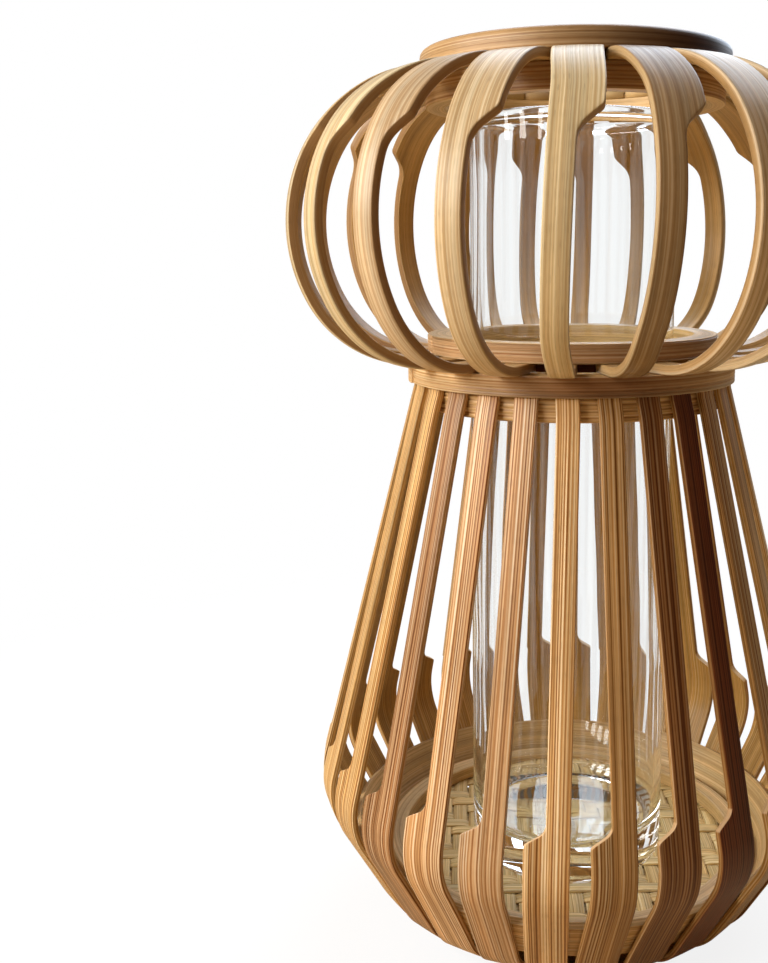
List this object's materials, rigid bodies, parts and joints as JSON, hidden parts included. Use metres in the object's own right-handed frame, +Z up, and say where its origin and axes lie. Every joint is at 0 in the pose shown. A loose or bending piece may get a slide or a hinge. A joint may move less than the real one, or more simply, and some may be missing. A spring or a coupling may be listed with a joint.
{
  "type": "bamboo vase",
  "caption": "Mushroom-shaped cage vase of bent bamboo slats held by coiled rings, with a plaited floor and a clear lift-out glass cylinder for water and flowers.",
  "frame": {"origin": "centre of the foot ring's underside, on the plane the vase stands on", "axes": "+Z up along the vase's axis, -Y towards the pictured front, +X to its right"},
  "size_m": [0.221, 0.221, 0.3482],
  "materials": {
    "upper_bamboo": "satin lacquer",
    "lower_bamboo": "satin lacquer",
    "cap_bamboo": "satin lacquer",
    "hoop_bamboo": "satin lacquer",
    "ring_bamboo": "satin, coiled",
    "plaited_bamboo": "plaited, dull",
    "glass": "clear"
  },
  "bodies": {
    "cage": {"cap_hoop": "cap_bamboo", "top_coil_ring": "ring_bamboo", "bulb_base_ring": "ring_bamboo", "waist_hoop": "hoop_bamboo", "waist_inner_ring": "ring_bamboo", "base_band": "ring_bamboo", "mat_retaining_ring": "ring_bamboo", "woven_mat": "plaited_bamboo", "floor_coil_ring": "ring_bamboo", "foot_ring": "ring_bamboo", "upper_slat_01": "upper_bamboo", "upper_slat_02": "upper_bamboo", "upper_slat_03": "upper_bamboo", "upper_slat_04": "upper_bamboo", "upper_slat_05": "upper_bamboo", "upper_slat_06": "upper_bamboo", "upper_slat_07": "upper_bamboo", "upper_slat_08": "upper_bamboo", "upper_slat_09": "upper_bamboo", "upper_slat_10": "upper_bamboo", "upper_slat_11": "upper_bamboo", "upper_slat_12": "upper_bamboo", "upper_slat_13": "upper_bamboo", "upper_slat_14": "upper_bamboo", "upper_slat_15": "upper_bamboo", "upper_slat_16": "upper_bamboo", "upper_slat_17": "upper_bamboo", "upper_slat_18": "upper_bamboo", "upper_slat_19": "upper_bamboo", "upper_slat_20": "upper_bamboo", "upper_slat_21": "upper_bamboo", "lower_slat_01": "lower_bamboo", "lower_slat_02": "lower_bamboo", "lower_slat_03": "lower_bamboo", "lower_slat_04": "lower_bamboo", "lower_slat_05": "lower_bamboo", "lower_slat_06": "lower_bamboo", "lower_slat_07": "lower_bamboo", "lower_slat_08": "lower_bamboo", "lower_slat_09": "lower_bamboo", "lower_slat_10": "lower_bamboo", "lower_slat_11": "lower_bamboo", "lower_slat_12": "lower_bamboo", "lower_slat_13": "lower_bamboo", "lower_slat_14": "lower_bamboo", "lower_slat_15": "lower_bamboo", "lower_slat_16": "lower_bamboo", "lower_slat_17": "lower_bamboo", "lower_slat_18": "lower_bamboo", "lower_slat_19": "lower_bamboo", "lower_slat_20": "lower_bamboo", "lower_slat_21": "lower_bamboo", "lower_slat_22": "lower_bamboo", "lower_slat_23": "lower_bamboo", "lower_slat_24": "lower_bamboo", "lower_slat_25": "lower_bamboo", "lower_slat_26": "lower_bamboo", "lower_slat_27": "lower_bamboo", "lower_slat_28": "lower_bamboo"},
    "glass": {"glass_cylinder": "glass"}
  },
  "joints": [
    {"name": "glass_lift", "type": "slide", "parent": "cage", "child": "glass", "axis": [0, 0, 1], "range_m": [0, 0.33]}
  ]
}
